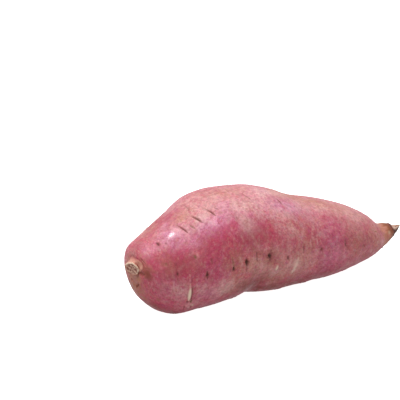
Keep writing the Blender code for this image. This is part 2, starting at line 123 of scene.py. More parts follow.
# Marks of the skin. Each runs from one place to another: station, angle, station, angle, half
# width, height, then the tint it carries and how strong that is.
MARKS = (
    # slits of the shoulder
    (41.5, 15.0, 43.6, 30.0, 0.44, -0.32, "brown", 0.90),
    (42.4, 21.0, 43.6, 29.5, 0.32, -0.20, "dark", 0.40),
    (50.0, 18.0, 52.7, 30.0, 0.60, -0.50, "brown", 0.90),
    (50.8, 21.5, 52.3, 28.5, 0.42, -0.20, "dark", 0.45),
    (53.2, 31.0, 54.6, 37.0, 0.26, -0.10, "dark", 0.22),
    (57.5, 14.0, 59.3, 22.0, 0.26, -0.15, "brown", 0.40),
    (58.6, 18.5, 60.9, 30.0, 0.50, -0.42, "brown", 0.90),
    (59.6, 23.0, 60.8, 29.5, 0.34, -0.15, "dark", 0.45),
    (46.3, 24.5, 48.0, 32.5, 0.42, -0.30, "olive", 0.75),
    (51.8, -6.0, 51.3, 8.5, 0.30, -0.15, "dark", 0.30),
    (62.9, 22.0, 64.2, 25.5, 0.34, -0.20, "dark", 0.45),
    (102.6, 25.0, 104.1, 31.0, 0.36, -0.35, "dark", 0.75),
    (83.6, 14.0, 85.6, 23.5, 0.45, -0.30, "brown", 0.65),
    # ridges that run along the crown
    (46.0, -6.0, 80.0, -2.0, 0.55, 0.22, "pale", 0.25),
    (54.0, 1.0, 76.0, 4.5, 0.45, -0.20, "brown", 0.22),
    (56.0, 7.0, 70.0, 9.0, 0.45, 0.16, "pale", 0.20),
    (60.0, -12.0, 92.0, -9.0, 0.60, -0.22, "brown", 0.20),
    # eyes between the shoulder and the furrow
    (27.2, 20.0, 27.3, 25.0, 0.62, -0.75, "dark", 0.80),
    (31.1, 27.0, 31.1, 29.0, 0.50, -0.20, "dark", 0.40),
    (71.3, 40.0, 71.5, 42.0, 0.40, -0.20, "dark", 0.45),
    (42.4, 57.5, 42.9, 61.5, 0.55, -0.35, "olive", 0.95),
    (26.9, 54.0, 26.9, 57.0, 0.75, -0.25, "olive", 0.60),
    (29.3, 42.0, 29.3, 44.0, 0.55, -0.20, "brown", 0.50),
    (33.5, 36.0, 34.2, 39.0, 0.45, -0.20, "brown", 0.40),
    # the long crease beside the stem shoulder
    (31.9, 58.0, 31.3, 82.0, 0.60, -0.50, "brown", 0.45),
    (31.6, 70.0, 31.6, 73.0, 0.65, -0.35, "dark", 0.70),
    (29.3, 64.0, 29.3, 82.0, 0.80, 0.28, "pale", 0.30),
    (22.2, 82.0, 22.2, 84.5, 0.60, -0.20, "brown", 0.50),
    # eyes of the furrow
    (47.4, 80.5, 47.4, 88.0, 0.55, -0.60, "dark", 0.55),
    (47.3, 83.0, 47.4, 85.0, 0.85, -0.30, "dark", 0.95),
    (50.7, 68.5, 50.6, 73.5, 0.45, -0.20, "dark", 0.35),
    (62.6, 77.0, 62.9, 91.5, 0.42, -0.40, "olive", 0.55),
    (62.9, 88.0, 62.9, 90.5, 0.85, -0.50, "dark", 0.90),
    (71.1, 83.5, 71.4, 91.0, 0.85, -0.75, "dark", 0.85),
    (71.4, 85.5, 71.4, 88.5, 0.80, -0.45, "dark", 1.50),
    (71.0, 91.5, 71.0, 96.0, 0.80, -0.25, "brown", 0.60),
    (78.2, 80.5, 78.2, 89.0, 0.34, -0.35, "dark", 0.55),
    (86.2, 85.5, 86.8, 87.5, 1.50, -1.00, "dark", 1.60),
    (87.4, 80.5, 86.9, 84.5, 1.10, -0.30, "dark", 0.40),
    (86.6, 89.5, 86.9, 92.0, 1.10, -0.30, "dark", 0.50),
    (98.8, 90.0, 98.8, 92.0, 0.80, -0.55, "dark", 0.85),
    (111.0, 77.5, 111.2, 86.5, 0.50, -0.35, "dark", 0.40),
    (111.1, 80.5, 111.1, 83.5, 0.55, -0.25, "dark", 0.50),
    (125.3, 82.5, 125.3, 85.5, 1.20, -0.55, "brown", 0.90),
    (142.8, 72.5, 142.8, 76.0, 0.50, -0.30, "dark", 0.50),
    (142.9, 77.5, 143.1, 82.0, 0.55, -0.50, "dark", 0.65),
    (145.2, 82.0, 144.6, 88.0, 0.60, -0.25, "brown", 0.40),
    (159.0, 84.5, 159.0, 90.0, 0.70, -0.35, "brown", 0.65),
    (159.0, 86.5, 159.0, 88.5, 0.50, -0.20, "dark", 0.45),
    (170.0, 68.0, 171.5, 78.0, 0.60, -0.15, "brown", 0.25),
    # the crease under the stem's neck and its notch: sunk, with painted shade in brown and deep red along
    # them
    (6.6, 94.0, 11.5, 82.0, 1.30, -0.55, "brown", 0.85),
    (12.0, 38.0, 13.4, 47.0, 0.60, -0.35, "brown", 0.85),
    (13.5, 49.0, 15.0, 62.0, 0.70, -0.35, "deep", 0.60),
    # streaks of dry skin beside the stem
    (7.5, -14.0, 12.0, -20.0, 0.60, 0.10, "pale", 0.45),
    (8.5, 2.0, 12.5, 4.0, 0.60, 0.12, "pale", 0.60),
    (9.0, -6.0, 14.0, -9.0, 0.50, -0.15, "brown", 0.35),
    # pits in the cork below the stem
    (7.9, 186.0, 8.2, 198.0, 0.60, -0.45, "brown", 0.80),
    (9.4, 140.0, 10.2, 163.0, 0.75, -0.55, "brown", 0.95),
    (11.5, 205.0, 12.5, 215.0, 0.60, -0.35, "dark", 0.55),
    # the long scar and what is round it
    (37.8, 86.5, 37.9, 94.0, 0.42, 0.20, "cream", 0.35),
    (37.8, 81.0, 37.9, 84.0, 0.50, 0.16, "pale", 0.60),
    (38.1, 77.0, 38.0, 78.5, 0.45, 0.12, "pale", 0.50),
    (37.9, 94.0, 37.8, 110.0, 0.90, 0.55, "cream", 1.00),
    (39.2, 92.0, 39.1, 111.0, 0.36, -0.35, "dark", 0.60),
    (38.9, 78.0, 39.0, 90.0, 0.30, -0.20, "brown", 0.35),
    (36.6, 98.0, 36.6, 108.0, 0.30, -0.20, "brown", 0.40),
    (39.5, 112.0, 39.6, 117.0, 0.70, -0.50, "olive", 1.00),
    (37.2, 112.0, 37.3, 114.5, 0.40, -0.30, "dark", 0.70),
    (41.0, 120.0, 41.1, 122.5, 0.50, 0.30, "cream", 0.85),
    (38.6, 122.0, 38.9, 126.0, 0.95, 0.45, "pale", 0.85),
    (40.6, 123.5, 40.7, 128.0, 0.45, -0.30, "brown", 0.85),
    (36.3, 120.0, 37.0, 128.5, 0.40, -0.25, "brown", 0.55),
    # other scars
    (32.3, 95.0, 32.6, 98.5, 0.85, 0.22, "pale", 0.80),
    (43.6, 100.0, 43.6, 102.5, 0.55, 0.28, "pale", 0.75),
    (91.9, 98.5, 90.9, 103.5, 0.62, 0.50, "cream", 0.90),
    (89.2, 95.0, 91.0, 94.0, 0.30, 0.12, "pale", 0.55),
    (88.0, 99.0, 88.2, 103.0, 0.30, 0.12, "pale", 0.35),
    (106.4, 91.0, 104.8, 101.0, 1.20, 0.20, "pale", 0.60),
    (104.8, 100.0, 102.7, 112.0, 1.40, 0.30, "pale", 1.00),
    (106.4, 92.0, 102.9, 111.0, 1.20, 0.05, "cream", 0.38),
    (107.5, 66.0, 106.0, 92.0, 0.90, 0.12, "pale", 0.22),
    (149.0, 91.5, 151.6, 93.0, 0.55, 0.20, "pale", 0.80),
    (154.5, 91.0, 155.2, 93.0, 0.40, 0.10, "pale", 0.45),
    (103.4, 52.0, 103.4, 54.5, 0.60, 0.16, "pale", 0.70),
    (26.2, 29.5, 26.4, 34.0, 1.00, 0.22, "pale", 0.60),
    (80.5, 112.0, 92.0, 105.0, 0.55, 0.22, "pale", 0.30),
)

# Rows of eyes where the root turns away: angle, first station, last station, eyes in the row.
EYE_ROWS = (
    (146.0, 38.0, 164.0, 9),
    (205.0, 30.0, 160.0, 9),
    (262.0, 26.0, 168.0, 11),
    (322.0, 34.0, 166.0, 10),
)
EYE_DEPTH = 0.8
EYE_HALF_WIDTH = 0.6
SEED = 11

# Coloured areas of the skin, by their tint: station, angle, reach along, reach around, strength.
# The cork lies round the stem's foot and along the crown of the tail half.
PATCHES = {
    "deep": (
        (67, 56, 11, 8, 0.95), (54, 60, 9, 8, 0.95), (80, 66, 10, 5, 0.75), (90, 66, 7, 5, 0.65),
        (79.5, 44, 3, 5, 0.80), (84, 55, 5, 6, 0.70), (53, 50, 7, 5, 1.00), (120, 42, 5, 4, 0.50),
        (34, 50, 8, 10, 0.90), (22, 68, 12, 10, 1.00), (36, 66, 9, 6, 0.95), (138, 45, 9, 5, 0.60),
        (71, 40, 4, 3, 0.45), (31, 27, 4.5, 5, 0.70), (39, -12, 8, 7, 0.95), (73, 64, 9, 6, 0.95),
        (48, 70, 7, 7, 0.95), (17, 47, 6, 7, 0.60), (20.4, -6, 5, 5, 0.65), (27, 45, 3.5, 5, 0.50),
        (53, 88, 8, 7, 0.80), (42, 75, 5, 9, 0.50), (36, 132, 18, 6, 0.35), (100, 23, 4, 3.5, 0.45),
        (99, 76, 8, 5, 0.40), (122, 58, 9, 5, 0.40), (134, 112, 9, 5, 0.55), (143, 76, 4, 5, 0.50),
        (165, 50, 3, 3, 0.60), (118, 126, 16, 5, 0.50),
    ),
    "tan": (
        (42, -6, 7, 7, 0.35), (66, 92, 7, 12, 0.75), (76, 91, 8, 8, 0.95), (74, 6, 12, 8, 0.80),
        (86, 95, 9, 9, 0.85), (93, 112, 10, 8, 0.90), (112, 96, 11, 12, 0.80), (152, 80, 9, 13, 0.60),
        (172, 80, 9, 10, 0.80), (118, 4, 10, 6, 0.85), (134, 13, 14, 6, 0.85), (150, 20, 12, 6, 0.70),
        (82.3, 26, 4, 5, 0.50), (45.5, 9, 7, 6, 1.00), (46, 24, 3.5, 5, 0.45), (33, -22, 10, 9, 0.80),
        (26.9, 55.5, 4.5, 4.5, 0.75), (42.7, 62, 4.5, 5, 0.55), (14.9, 74, 4.5, 5, 0.40),
        (151, 45.5, 4, 3, 0.55), (103.3, 116.5, 5, 3, 0.70), (118, 48, 9, 6, 0.45),
        (108, 60, 9, 7, 0.50), (60, 22, 5, 4, 0.45),
    ),
    # Painted light: these pink patches brighten the near side low down, towards the belly.
    "rose_painted_light": (
        (22, 112, 10, 16, 1.00), (37, 121, 8, 7, 0.80), (125, 107, 10, 5, 0.80), (139.5, 98, 6, 5, 0.70),
        (76, 103, 10, 5, 0.75), (94, 120, 8, 4, 0.45), (57, 109, 6, 6, 0.80),
    ),
    "mauve": (
        (128, 100, 5, 9, 0.75), (133, 76, 6, 10, 0.60), (98, 30, 7, 5, 0.45), (28, 96, 9, 10, 0.30),
        (57, 41, 10, 5, 0.70), (118, 32, 12, 5, 0.50), (50, 110, 9, 4, 0.45), (45, 42, 8, 5, 0.45),
    ),
    # Of these, the patches at angles 119 to 134 are painted shade under the waist and along the belly; the
    # rest are stains.
    "brown": (
        (78, 119, 10, 6, 0.70), (14.6, 78, 3.2, 2.8, 0.85), (87, 88, 4, 4, 0.30), (76, 66, 9, 6, 0.38),
        (32, 61, 8, 6, 0.42), (50, 51, 6, 5, 0.20), (10, 8, 7, 6, 0.28), (23.5, 42, 4, 4, 0.20),
        (160, 80, 7, 7, 0.28), (124, 129, 12, 5, 0.40), (92, 133, 14, 4, 0.65), (110, 134, 12, 4, 0.65),
        (8, 185, 4, 6, 0.30),
    ),
    "pale": (
        (76, 47, 3.6, 5, 1.00), (78, 32, 4.4, 4.4, 1.00), (94.5, 15.5, 6, 5, 1.00), (99, 46, 6, 5, 0.70),
        (103, 12, 7, 3.5, 0.90), (54, 24, 3.4, 3, 0.80), (95, 38, 3.5, 6, 0.55), (97, 58, 4, 6, 0.45),
        (103, 62, 3.5, 5, 0.65), (57.5, 109, 6, 5, 1.00), (61.5, 113, 5, 4, 0.60), (45.5, 101, 4, 4, 0.55),
        (24, 93, 5, 6, 0.40), (39.5, 121, 5, 4, 0.50), (103.5, 99, 5.5, 5, 0.60), (89, 107, 12, 4, 0.45),
        (53.5, 5, 4.5, 5, 0.55), (64.5, 12, 7, 5, 0.45), (55, -6, 6, 5, 0.45), (91.5, 27, 4.5, 4.5, 0.70),
        (118, 31, 5, 4, 0.45), (130, 28, 6, 4, 0.60), (143, 25, 6, 4, 0.50), (124, 52, 5, 4, 0.50),
        (97, 82, 6, 6, 0.35), (158, 31, 11, 6, 0.60), (66, 112, 9, 5, 0.40), (78.8, 98, 5, 3, 0.50),
        (33, 94, 5, 5, 0.70), (86, 31, 5, 7, 0.75), (136, 24, 10, 4.5, 0.60), (9.5, -2, 3, 3, 0.60),
        (125, 20, 14, 4, 0.45),
    ),
    # The patches round the bright spot, at (36.5, 19) and (36, 31), are a painted glow round the
    # highlight; the rest are the skin's own pale violet tone.
    "lilac_and_glow": (
        (139, 98, 5, 4, 0.35), (36.5, 19, 6.5, 7, 1.00), (46, 34, 7, 4, 0.35), (45.5, 44, 4, 4, 0.55),
        (20.5, 23, 5, 5, 0.45), (37.5, 3, 5, 4, 0.55), (36, 31, 5, 5, 0.80), (75, 50, 4, 4, 0.60),
        (79.5, 43, 4, 4, 0.50), (96, 14, 5, 4, 0.55), (57, 35, 10, 4.5, 0.75), (68, 26, 9, 7, 0.60),
        (106, 35, 14, 5, 0.75),
    ),
    "cork": (
        (9, 180, 6.5, 11, 1.00), (6.8, 140, 3.5, 5, 1.00), (12, 66, 4, 5, 0.55), (122, 7, 13, 5, 0.38),
        (141, 16, 11, 4, 0.28),
    ),
}
TINTS = ("gloss", "streak", "rose_painted_light", "deep", "mauve", "lilac_and_glow", "rust", "tan", "pale", "cork", "salmon",
         "brown", "olive", "cream", "dark", "dust_and_sheen", "wood", "stub", "rim")

# The tail: where the skin's torn edge is at the top and how much later it is at the belly.
TEAR_STATION = 195.6
TEAR_SLANT = 1.3
TEAR_STEP = 0.55
COLLAR_STATION = 191.0
COLLAR_HEIGHT = 0.3

# Dried rootlets of the solid: station, angle, length, lean along the root.
ROOTLETS = (
    (84.5, 342.0, 2.2, 0.1),
    (61.0, 268.0, 3.4, 0.5),
    (104.0, 258.0, 2.8, -0.4),
    (146.0, 266.0, 3.0, 0.6),
    (128.0, 318.0, 2.2, 0.4),
    (90.0, 222.0, 1.4, 0.8),
    (178.0, 300.0, 3.2, 0.8),
    (182.0, 120.0, 3.0, 0.8),
    (172.0, 60.0, 2.0, 0.7),
    (36.0, 232.0, 1.6, -0.5),
)
ROOTLET_THICKNESS = 0.32
ROOTLET_STEPS = 12
ROOTLET_SIDES = 7
HAIRS = 26
HAIR_THICKNESS = 0.12
HAIR_SEED = 5

# The camera, fitted to the outline: direction, height above the floor, lens and distance, and
# the point of the root that is at the middle of the picture.
CAMERA_AZIMUTH = -30.0
CAMERA_ELEVATION = 22.0
CAMERA_LENS = 105.0
CAMERA_SENSOR = 36.0
CAMERA_DISTANCE = 640.0
CAMERA_TARGET = np.array((40.9, -1.7, 64.4))

# Half the floor's side in metres, and how much the floor glows, so that only the shade close to
# the root shows on it.
FLOOR_HALF = 12.0
FLOOR_GLOW = 0.95

# How bright the white room is above the root and below it.
ROOM_ABOVE = 0.672
ROOM_BELOW = 0.05

# The small bright spot of the shoulder: the key light stands where the skin mirrors it.
SPOT_STATION = 36.1
SPOT_ANGLE = 22.0
SPOT_REACH_ALONG = 2.8
SPOT_REACH_AROUND = 5.2
SPOT_ROUGHNESS = 0.21
KEY_LIGHT_DISTANCE = 0.9
KEY_LIGHT_SIZE = 0.15
KEY_LIGHT_POWER = 3.1
TOP_LIGHT_PLACE = (0.10, 0.10, 1.1)
TOP_LIGHT_SIZE = 0.9
TOP_LIGHT_POWER = 4.1


def ease(t):
    """Return a smooth step from 0 to 1."""
    t = np.clip(t, 0.0, 1.0)
    return t * t * (3.0 - 2.0 * t)


def bell(distance):
    """Return a rounded bump, 1 at distance 0 and nothing past about 2."""
    return np.exp(-distance * distance)


def unit(way):
    """Return a direction, or many, at length 1."""
    return way / np.linalg.norm(way, axis=-1, keepdims=True)


def running_lengths():
    """Return the station of each ring: the distance run along the skin's profile up to it."""
    profile = np.stack([RINGS[:, 0], RINGS[:, 3:].mean(axis=1)], axis=1)
    steps = np.linalg.norm(np.diff(profile, axis=0), axis=1)
    return np.concatenate([[0.0], np.cumsum(steps)])


STATIONS = running_lengths()
LENGTH = float(STATIONS[-1])


def ring_slopes():
    """Return how fast each ring value changes at its station: the mean of the two spans beside it."""
    spans = np.diff(STATIONS)[:, None]
    rises = np.diff(RINGS, axis=0) / spans
    slopes = np.empty_like(RINGS)
    slopes[1:-1] = (spans[1:] * rises[:-1] + spans[:-1] * rises[1:]) / (spans[1:] + spans[:-1])
    slopes[0] = 1.5 * rises[0] - 0.5 * slopes[1]
    slopes[-1] = 1.5 * rises[-1] - 0.5 * slopes[-2]
    return slopes


SLOPES = ring_slopes()


def ring_at(station):
    """Return the five ring values at any station, by cubic curves that pass through the rings."""
    span = np.clip(np.searchsorted(STATIONS, station, side="right") - 1, 0, len(RINGS) - 2)
    width = STATIONS[span + 1] - STATIONS[span]
    t = ((station - STATIONS[span]) / width)[..., None]
    width = width[..., None]
    start = (2 * t**3 - 3 * t**2 + 1) * RINGS[span] + (t**3 - 2 * t**2 + t) * width * SLOPES[span]
    end = (3 * t**2 - 2 * t**3) * RINGS[span + 1] + (t**3 - t**2) * width * SLOPES[span + 1]
    return np.moveaxis(start + end, -1, 0)


def plain_skin(station, angle):
    """Return points of the plain body: an oval of the ring's size round the ring's centre."""
    along, side, height, half_width, half_height = ring_at(station)
    x = along + 0.0 * angle
    y = side - half_width * np.sin(angle)
    z = height + half_height * np.cos(angle)
    return np.stack([x, y, z], axis=-1)


def outward(station, angle):
    """Return the outward direction: across one small step along the skin and one round it."""
    step = 0.05
    station = np.clip(station, 2 * step, LENGTH - 2 * step)
    along = plain_skin(station + step, angle) - plain_skin(station - step, angle)
    around = plain_skin(station, angle + step) - plain_skin(station, angle - step)
    return unit(np.cross(around, along))


def girth_radius(station):
    """Return the mean radius of the ring at a station, for turning angles into lengths."""
    ring = ring_at(np.asarray(station, float))
    return np.maximum((ring[3] + ring[4]) / 2, 0.5)


def turn_between(angle, centre):
    """Return the angle from a centre, taken the short way round."""
    return (angle - centre + math.pi) % (2 * math.pi) - math.pi


def grown_noise(station, angle, along, around, seed):
    """Return smooth noise from -1 to 1: random values on a lattice over the skin, eased between.

    The lattice's cells are along by around millimetres, and it closes on itself round the root.
    """
    turns = max(int(round(2 * math.pi * MEAN_RADIUS / around)), 3)
    table = np.random.default_rng(seed).uniform(-1.0, 1.0, (int(LENGTH / along) + 3, turns))
    row = station / along
    column = angle / (2 * math.pi) % 1.0 * turns
    low_row = np.floor(row).astype(int)
    low_column = np.floor(column).astype(int) % turns
    next_column = (low_column + 1) % turns
    down = ease(row - np.floor(row))
    across = ease(column - np.floor(column))
    near = table[low_row, low_column] * (1 - across) + table[low_row, next_column] * across
    far = table[low_row + 1, low_column] * (1 - across) + table[low_row + 1, next_column] * across
    return near * (1 - down) + far * down


def swelling_height(station, angle):
    """Return the sum of the soft swellings and hollows, each a bell in both directions."""
    height = np.zeros_like(station + angle)
    radius = girth_radius(station)
    for place, turn, reach_along, reach_around, rise in SWELLINGS:
        around = turn_between(angle, math.radians(turn)) * radius / reach_around
        height += rise * bell((station - place) / reach_along) * bell(around)
    return height


def lump_height(station, angle):
    """Return the slow unevenness of a grown root: a few long waves along it and round it."""
    waves = 0.25 * np.sin(2 * angle + station / 23.0 + LUMP_TURNS[0]) * np.sin(station / 31.0)
    waves += 0.20 * np.sin(3 * angle - station / 17.0 + LUMP_TURNS[1])
    waves += 0.14 * np.sin(5 * angle + station / 11.0 + LUMP_TURNS[2])
    return waves * ease(station / 30.0) * ease((LENGTH - station) / 40.0)


def hidden_eyes():
    """Return the eyes dealt out along the rows that the photo doesn't show, as marks."""
    rng = np.random.default_rng(SEED)
    marks = []
    for turn, first, last, count in EYE_ROWS:
        for place in np.linspace(first, last, count):
            station = place + rng.uniform(-3.0, 3.0)
            centre = turn + rng.uniform(-5.0, 5.0)
            half_turn = rng.uniform(2.0, 6.5)
            share = rng.uniform(0.6, 1.2)
            marks.append((station, centre - half_turn, station, centre + half_turn,
                          EYE_HALF_WIDTH, -EYE_DEPTH * share, "dark", 0.7 * share))
    return marks


ALL_MARKS = list(MARKS) + hidden_eyes()


def from_mark(station, angle, mark):
    """Return the distance from a mark's line in half widths, on the unrolled skin.

    The line is widest in its middle, so the distance counts for more towards its ends.
    """
    first_station, first_angle, last_station, last_angle, half_width = mark[:5]
    middle = math.radians((first_angle + last_angle) / 2)
    radius = girth_radius(station)
    along = station - (first_station + last_station) / 2
    around = turn_between(angle, middle) * radius
    mark_radius = float(girth_radius((first_station + last_station) / 2))
    half_along = (last_station - first_station) / 2
    half_around = math.radians(last_angle - first_angle) / 2 * mark_radius
    reach = max(math.hypot(half_along, half_around), 0.01)
    run = (along * half_along + around * half_around) / reach
    off = (around * half_along - along * half_around) / reach
    past_end = np.maximum(np.abs(run) - reach, 0.0)
    taper = 1.0 - 0.55 * np.minimum(np.abs(run) / reach, 1.0) ** 2
    return np.hypot(off, past_end) / (half_width * taper)


def mark_height(station, angle):
    """Return the marks: each a bell across its own line, the sunk ones with a low lip."""
    height = np.zeros_like(station + angle)
    waver = 0.25 * grown_noise(station, angle, 1.3, 1.3, 21)
    for mark in ALL_MARKS:
        rise = mark[5]
        across = from_mark(station, angle, mark) * (1.0 + waver)
        height += rise * bell(across)
        if rise < 0:
            height += 0.30 * abs(rise) * bell((across - 2.1) / 0.8)
    return height


def grain_height(station, angle):
    """Return the skin's own fine relief: low pimples, and faint creases that run round the root."""
    around = turn_between(angle, math.radians(SPOT_ANGLE)) * girth_radius(station)
    taut = 1.0 - 0.8 * bell(np.hypot(station - SPOT_STATION, around) / 8.0)
    pimples = 0.055 * grown_noise(station, angle, 3.2, 3.2, 31)
    pimples += 0.035 * grown_noise(station, angle, 1.6, 1.7, 32)
    creases = grown_noise(station, angle, 1.1, 9.0, 33)
    creases = -0.05 * ease((creases - 0.25) / 0.6)
    cords = 0.05 * grown_noise(station, angle, 26.0, 3.0, 34)
    return (pimples + creases + cords) * taut


def cork_height(station, angle):
    """Return the rough, cracked cork round the foot of the stub, less the fold of its neck."""
    reach = bell((station - 9.5) / 6.0) * bell(turn_between(angle, math.radians(185.0)) / 1.0)
    rough = 0.16 * grown_noise(station, angle, 1.2, 4.0, 41)
    rough += 0.1 * grown_noise(station, angle, 0.8, 2.5, 42)
    return reach * rough - 0.35 * neck_crease(station, angle)


def tear_station(angle):
    """Return where the tail's skin is torn off: later towards the belly, and ragged."""
    ragged = 0.45 * np.sin(5 * angle + 1.0) + 0.35 * np.sin(9 * angle + 2.0) + 0.2 * np.sin(17 * angle)
    return TEAR_STATION - TEAR_SLANT * np.cos(angle) + ragged


def tail_height(station, angle):
    """Return the tail: a puckered collar, a step down where its skin is torn, and woody ribs."""
    collar = COLLAR_HEIGHT * bell((station - COLLAR_STATION) / 2.2) * ease(np.cos(angle) + 0.8)
    past_tear = station - tear_station(angle)
    drop = TEAR_STEP * (0.2 + 0.8 * ease(np.cos(angle - 0.3) + 0.8))
    step = -drop * ease((past_tear + 0.15) / 0.5) * ease((LENGTH - station) / 6.0)
    curl = 0.18 * bell((past_tear + 0.5) / 0.5)
    wood = ease((station - COLLAR_STATION) / 4.0) * ease((LENGTH - station) / 4.0)
    ribs = 0.16 * np.cos(5 * angle + 0.7) + 0.10 * np.cos(11 * angle + station / 3.0)
    return collar + step + curl + ribs * wood


def stub_face(station, angle):
    """Return points of the stub's cut face: an oval round its middle, square to its aim.

    Its rim stands up and its middle is sunk and rough, as cut wood dries.
    """
    aim = unit(STUB_AIM)
    upward = unit(np.array([0.0, 0.0, 1.0]) - aim[2] * aim)
    sideways = np.cross(aim, upward)
    oval = 1.0 + STUB_OVAL * np.cos(2 * (angle - math.radians(STUB_LONG_WAY)))
    ragged = 0.94 + 0.03 * np.sin(5 * angle + 0.6) + 0.02 * np.sin(9 * angle)
    ragged += 0.01 * np.sin(17 * angle)
    reach = station * oval * ragged
    across = np.cos(angle)[..., None] * upward - np.sin(angle)[..., None] * sideways
    sunk = -0.75 * ease((STUB_RADIUS - 0.5 - station) / 1.0)
    fibres = 0.12 * np.sin(reach * np.cos(angle) * 4.0) * np.sin(reach * np.sin(angle) * 3.4 + 1.0)
    rough = (sunk + fibres * ease((STUB_RADIUS - 0.2 - station) / 0.6)) * ease(station / 0.3)
    rough = np.where(station < 0.3, -0.75, rough)
    return STUB_CENTRE + reach[..., None] * across + rough[..., None] * aim


def stub_foot(angle):
    """Return the station where the neck has run out: latest on the side that it leans to."""
    leaning = turn_between(angle, math.radians(STUB_FOOT_ANGLE)) / math.radians(STUB_FOOT_SPREAD)
    return STUB_FOOT + STUB_FOOT_REACH * bell(leaning)


def neck_crease(station, angle):
    """Return the fold round the neck's foot, 1 in its middle, on the side that faces up."""
    facing_up = ease(np.cos(angle - math.radians(30.0)) + 0.35)
    return bell((station - stub_foot(angle) - 0.5) / 0.6) * facing_up


def add_stub(points, station, angle):
    """Turn the rings nearest the end into the stub: its flat face, then its neck to the foot."""
    foot = stub_foot(angle)
    share = ease((foot - station) / (foot - STUB_RADIUS))[..., None]
    run_back = NECK_RUN * np.maximum(station - STUB_RADIUS, 0.0)[..., None]
    neck = stub_face(np.minimum(station, STUB_RADIUS + NECK_RIM), angle)
    neck = neck - run_back * unit(STUB_AIM)
    return points * (1.0 - share) + neck * share


def body_point(station, angle):
    """Return a point of the bare body: the plain skin raised by its swellings and lumps."""
    height = swelling_height(station, angle) + lump_height(station, angle)
    return plain_skin(station, angle) + height[..., None] * outward(station, angle)


def body_normal(station, angle):
    """Return the bare body's outward normal, square to a step along and a step around."""
    along = body_point(station + 0.5, angle) - body_point(station - 0.5, angle)
    around = body_point(station, angle + 0.02) - body_point(station, angle - 0.02)
    normal = unit(np.cross(along, around))
    return normal if normal.dot(outward(station, angle)) > 0 else -normal


def skin_points(station, angle):
    """Return finished points in millimetres: the plain body, raised, lifted and pressed flat."""
    height = swelling_height(station, angle) + lump_height(station, angle)
    height += mark_height(station, angle) + grain_height(station, angle)
    height += cork_height(station, angle) + tail_height(station, angle)
    height *= ease((station - 2.0) / 6.0) * ease((LENGTH - station) / 2.0)
    points = plain_skin(station, angle) + height[..., None] * outward(station, angle)
    points = add_stub(points, station, angle)
    points[..., 2] = np.maximum(points[..., 2] - SINK, 0.0)
    return points


def row_stations():
    """Return the mesh's stations, closer together at the stub, over the slits and at the tail."""
    fine = np.linspace(0.0, LENGTH, 4001)
    closeness = 1.0 + 2.2 * bell(fine / 8.0)
    closeness += 0.6 * bell((fine - 50.0) / 16.0)
    closeness += 1.2 * bell((fine - 195.0) / 9.0)
    share = np.concatenate([[0.0], np.cumsum((closeness[1:] + closeness[:-1]) / 2)])
    return np.interp(np.linspace(0.0, share[-1], ROWS), share, fine)


def frame_shift(points):
    """Return how far the rings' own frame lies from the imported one, from two of the solid's sides.

    The tail's tip is the solid's highest X, and the near side its lowest Y.
    """
    low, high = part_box("sweet_potato")
    return np.array([high[0] / MM - points[:, 0].max(), low[1] / MM - points[:, 1].min(), 0.0])


def lay(tints, name, share):
    """Keep the stronger of a tint's strength so far and a new share of it."""
    tints[name] = np.maximum(tints[name], share)


def tint_patches(tints, station, angle, edge):
    """Lay the patches: each a bell by the distance from its middle, with a ragged edge."""
    radius = girth_radius(station)
    for name, places in PATCHES.items():
        for place, turn, reach_along, reach_around, strength in places:
            around = turn_between(angle, math.radians(turn)) * radius / reach_around
            distance = np.hypot((station - place) / reach_along, around) * (1.0 + edge)
            lay(tints, name, strength * bell(distance * 0.85))


def tint_marks(tints, station, angle):
    """Lay each mark's own tint, with a brown and tan halo round the dark ones."""
    for mark in ALL_MARKS:
        name, strength = mark[6], mark[7]
        across = from_mark(station, angle, mark)
        lay(tints, name, strength * bell(across / 0.95))
        if name == "dark":
            lay(tints, "brown", 0.45 * strength * bell(across / 2.0))
            lay(tints, "tan", 0.5 * strength * bell(across / 3.6))


def tint_body(tints, station, angle, edge):
    """Lay painted shade in brown along the belly, the crown's pale bloom that is partly dust and partly
    painted sheen, and the gloss of the bright spot.
    """
    # Painted shade: brown darkens the belly where it turns down towards the floor.
    belly = ease((-np.cos(angle) - 0.58) / 0.34)
    belly = belly * ease((station - 12.0) / 12.0) * ease((155.0 - station) / 25.0)
    lay(tints, "brown", 0.62 * belly * (1.0 + edge))
    # Painted sheen: the crown is paler towards the top, partly dust and partly standing in for light from
    # above.
    crown = ease((np.cos(angle + 0.25) - 0.45) / 0.55) * ease((station - 16.0) / 22.0)
    tints["dust_and_sheen"] = crown * (1.0 + edge) * 0.75
    along = (station - SPOT_STATION) / SPOT_REACH_ALONG
    around = turn_between(angle, math.radians(SPOT_ANGLE)) * girth_radius(station) / SPOT_REACH_AROUND
    tints["gloss"] = ease(1.6 * bell(np.hypot(along, around)))


def tint_tail(tints, station, angle, edge):
    """Lay the tail's browns up to the torn edge of its skin, then bare wood, with painted shade on its
    underside.
    """
    past_tear = station - tear_station(angle)
    # Painted shade: the bare wood is darkened on its underside.
    underside_shade = ease((turn_between(angle, math.radians(150.0)) + math.radians(95.0)) / math.radians(30.0))
    tints["wood"] = ease((past_tear - 0.1) / 0.5)
    tints["rust"] = 0.9 * ease((past_tear + 8.5 + 3.0 * edge) / 5.0) * (1.0 - tints["wood"])
    lay(tints, "cork", 0.75 * ease((past_tear + 15.0 + 3.0 * edge) / 6.0))
    lay(tints, "olive", 0.30 * ease((station - 199.5) / 2.0))
    torn = bell((past_tear + 0.4) / 1.1) + 0.5 * bell((past_tear + 2.2) / 1.2) * (1.0 + 2.0 * edge)
    lay(tints, "brown", torn)
    lay(tints, "dark", 0.85 * tints["wood"] * underside_shade + 0.95 * bell((past_tear + 0.3) / 0.9))
    spot = bell((station - 189.5) / 0.9) * bell(turn_between(angle, math.radians(62.0)) / 0.16)
    lay(tints, "cream", 0.35 * spot)
    lay(tints, "tan", 0.8 * ease((station - 176.0) / 10.0))


